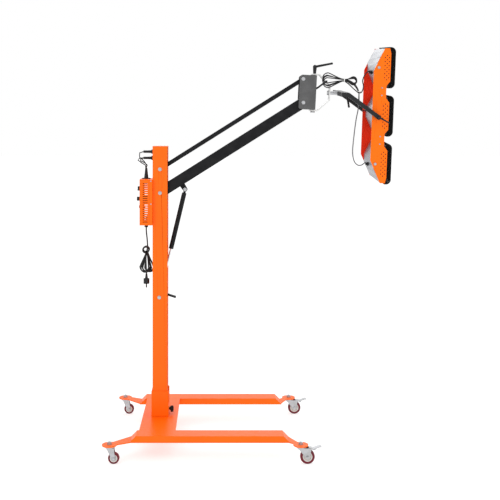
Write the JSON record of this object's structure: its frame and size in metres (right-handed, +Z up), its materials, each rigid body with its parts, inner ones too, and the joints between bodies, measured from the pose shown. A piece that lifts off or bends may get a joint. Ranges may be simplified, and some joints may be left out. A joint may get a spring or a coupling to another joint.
{
  "type": "infrared curing lamp",
  "caption": "Rolling stand with a gas-sprung parallelogram boom that carries a tilting column of infrared paint-curing heads behind wire guards.",
  "frame": {"origin": "on the floor, under the middle of the machine's length and width", "axes": "+Z up, +X from the column towards the lamp, +Y to the machine's left"},
  "size_m": [1.3277, 0.766, 1.8613],
  "materials": {
    "orange_paint": "gloss",
    "black_paint": "satin",
    "grey_paint": "satin",
    "white_strap": "satin",
    "zinc_steel": "zinc plated",
    "spring_rod_steel": "polished",
    "housing_sheet": "mill",
    "reflector_sheet": "polished",
    "quartz": "clear",
    "ceramic": "ceramic",
    "black_plastic": "moulded",
    "rocker_plastic": "moulded",
    "white_plastic": "nylon",
    "board": "circuit board",
    "hub_plastic": "moulded",
    "tread": "maroon",
    "cord_jacket": "sheathed"
  },
  "bodies": {
    "chassis": {"left_rail": "orange_paint", "right_rail": "orange_paint", "cross_plate": "orange_paint", "column_socket": "orange_paint", "column": "orange_paint", "chassis_bolts": "zinc_steel", "switch_housing": "black_plastic", "control_tray": "orange_paint", "control_cover": "orange_paint", "control_board": "board", "cable_glands": "black_plastic", "fuse_cap": "black_plastic", "control_leads": "cord_jacket", "mains_cord": "cord_jacket", "mains_hank": "cord_jacket", "mains_plug": "cord_jacket"},
    "boom": {"main_arm": "black_paint", "spring_pin": "zinc_steel"},
    "link": {"upper_link": "black_paint"},
    "head": {"head_bracket": "grey_paint", "bracket_bolts": "zinc_steel"},
    "spring_cylinder": {"spring_cylinder": "black_paint"},
    "spring_rod": {"spring_rod": "spring_rod_steel"},
    "release_lever": {"release_lever": "black_plastic"},
    "swivel": {"swivel_strap": "white_strap", "swivel_bolts": "zinc_steel", "lamp_leads": "cord_jacket", "lead_hank": "cord_jacket", "cable_ties": "white_plastic"},
    "yoke": {"yoke": "grey_paint"},
    "lamp": {"left_panel": "orange_paint", "right_panel": "orange_paint", "head_housings": "housing_sheet", "reflectors": "reflector_sheet", "emitters": "quartz", "tube_ends": "ceramic", "guards": "black_paint", "lamp_glands": "black_plastic", "panel_bolts": "zinc_steel", "tilt_bolts": "zinc_steel"},
    "swivel_lever": {"swivel_lever": "black_plastic"},
    "roll_lever": {"roll_lever": "black_plastic"},
    "tilt_lever": {"tilt_lever": "black_plastic"},
    "rocker_switch": {"rocker_switch": "rocker_plastic"},
    "timer_knob": {"timer_knob": "black_plastic"},
    "socket_knob": {"socket_knob": "black_plastic"},
    "front_left_caster": {"front_left_fork": "zinc_steel"},
    "front_left_wheel": {"front_left_tyre": "tread", "front_left_hub": "hub_plastic"},
    "front_right_caster": {"front_right_fork": "zinc_steel"},
    "front_right_wheel": {"front_right_tyre": "tread", "front_right_hub": "hub_plastic"},
    "rear_left_caster": {"rear_left_fork": "zinc_steel"},
    "rear_left_wheel": {"rear_left_tyre": "tread", "rear_left_hub": "hub_plastic"},
    "rear_right_caster": {"rear_right_fork": "zinc_steel"},
    "rear_right_wheel": {"rear_right_tyre": "tread", "rear_right_hub": "hub_plastic"},
    "left_brake_pedal": {"left_brake_pedal": "zinc_steel"},
    "right_brake_pedal": {"right_brake_pedal": "zinc_steel"}
  },
  "joints": [
    {"name": "boom_lift", "type": "hinge", "parent": "chassis", "child": "boom", "pos_m": [-0.424, 0, 1.162], "axis": [0, -1, 0], "range_deg": [-30, 12]},
    {"name": "link_lift", "type": "hinge", "parent": "chassis", "child": "link", "pos_m": [-0.424, 0, 1.274], "axis": [0, -1, 0], "range_deg": [-30, 12]},
    {"name": "head_level", "type": "hinge", "parent": "boom", "child": "head", "pos_m": [0.25295, 0, 1.5883], "axis": [0, -1, 0], "range_deg": [-12, 30]},
    {"name": "cylinder_turn", "type": "hinge", "parent": "boom", "child": "spring_cylinder", "pos_m": [-0.30681, 0, 1.17671], "axis": [0, -1, 0], "range_deg": [-11.5, 28.6]},
    {"name": "rod_slide", "type": "slide", "parent": "spring_cylinder", "child": "spring_rod", "axis": [-0.2317, 0, -0.9728], "range_m": [-0.0595, 0.0239]},
    {"name": "release_press", "type": "hinge", "parent": "spring_rod", "child": "release_lever", "pos_m": [-0.4208, 0, 0.68691], "axis": [0, -1, 0], "range_deg": [0, 8], "stiffness_Nm_per_rad": 2, "springref_deg": -8.59},
    {"name": "swivel_turn", "type": "hinge", "parent": "head", "child": "swivel", "pos_m": [0.30189, 0, 1.58574], "axis": [0.0523, 0, 0.9986], "range_deg": [-25, 25], "deforming": ["lamp_leads", "lead_hank", "cable_ties"]},
    {"name": "roll_turn", "type": "hinge", "parent": "swivel", "child": "yoke", "pos_m": [0.38161, 0, 1.63563], "axis": [0.9986, 0, -0.0523], "range_deg": [-90, 90], "deforming": ["lamp_leads", "lead_hank", "cable_ties"]},
    {"name": "lamp_tilt", "type": "hinge", "parent": "yoke", "child": "lamp", "pos_m": [0.58736, 0.00696, 1.52998], "axis": [0.0038, 0.9973, 0.0731], "range_deg": [-30, 90], "deforming": ["lamp_leads", "lead_hank", "cable_ties"]},
    {"name": "swivel_clamp", "type": "hinge", "parent": "swivel", "child": "swivel_lever", "pos_m": [0.30974, 0, 1.73553], "axis": [0.0523, 0, 0.9986], "range_deg": [0, 120]},
    {"name": "roll_clamp", "type": "hinge", "parent": "swivel", "child": "roll_lever", "pos_m": [0.43553, 0, 1.63281], "axis": [0.9986, 0, -0.0523], "range_deg": [0, 90]},
    {"name": "tilt_clamp", "type": "hinge", "parent": "lamp", "child": "tilt_lever", "pos_m": [0.58736, 0.00696, 1.52998], "axis": [0.0038, 0.9973, 0.0731], "range_deg": [0, 90]},
    {"name": "rocker_press", "type": "hinge", "parent": "chassis", "child": "rocker_switch", "pos_m": [-0.517, 0, 1.181], "axis": [0, 1, 0], "range_deg": [0, 14]},
    {"name": "timer_turn", "type": "hinge", "parent": "chassis", "child": "timer_knob", "pos_m": [-0.529, 0, 1.132], "axis": [1, 0, 0], "range_deg": [0, 300]},
    {"name": "socket_clamp", "type": "hinge", "parent": "chassis", "child": "socket_knob", "pos_m": [-0.364, 0, 0.134], "axis": [1, 0, 0], "range_deg": [0, 360]},
    {"name": "front_left_swivel", "type": "hinge", "parent": "chassis", "child": "front_left_caster", "pos_m": [0.212, 0.35, 0.07], "axis": [0, 0, 1], "continuous": true},
    {"name": "front_left_roll", "type": "hinge", "parent": "front_left_caster", "child": "front_left_wheel", "pos_m": [0.241, 0.35, 0.032], "axis": [0, 1, 0], "continuous": true},
    {"name": "left_brake", "type": "hinge", "parent": "front_left_caster", "child": "left_brake_pedal", "pos_m": [0.25, 0.35, 0.0681], "axis": [0, -1, 0], "range_deg": [0, 25]},
    {"name": "front_right_swivel", "type": "hinge", "parent": "chassis", "child": "front_right_caster", "pos_m": [0.212, -0.35, 0.07], "axis": [0, 0, 1], "continuous": true},
    {"name": "front_right_roll", "type": "hinge", "parent": "front_right_caster", "child": "front_right_wheel", "pos_m": [0.241, -0.35, 0.032], "axis": [0, 1, 0], "continuous": true},
    {"name": "right_brake", "type": "hinge", "parent": "front_right_caster", "child": "right_brake_pedal", "pos_m": [0.25, -0.35, 0.0681], "axis": [0, -1, 0], "range_deg": [0, 25]},
    {"name": "rear_left_swivel", "type": "hinge", "parent": "chassis", "child": "rear_left_caster", "pos_m": [-0.626, 0.35, 0.07], "axis": [0, 0, 1], "continuous": true},
    {"name": "rear_left_roll", "type": "hinge", "parent": "rear_left_caster", "child": "rear_left_wheel", "pos_m": [-0.607, 0.35, 0.025], "axis": [0, 1, 0], "continuous": true},
    {"name": "rear_right_swivel", "type": "hinge", "parent": "chassis", "child": "rear_right_caster", "pos_m": [-0.626, -0.35, 0.07], "axis": [0, 0, 1], "continuous": true},
    {"name": "rear_right_roll", "type": "hinge", "parent": "rear_right_caster", "child": "rear_right_wheel", "pos_m": [-0.607, -0.35, 0.025], "axis": [0, 1, 0], "continuous": true}
  ],
  "couplings": [
    {"joint": "link_lift", "follows": "boom_lift", "ratio": 1},
    {"joint": "head_level", "follows": "boom_lift", "ratio": -1},
    {"joint": "cylinder_turn", "follows": "boom_lift", "ratio": -0.952},
    {"joint": "rod_slide", "follows": "boom_lift", "m_per_rad": 0.1133}
  ]
}
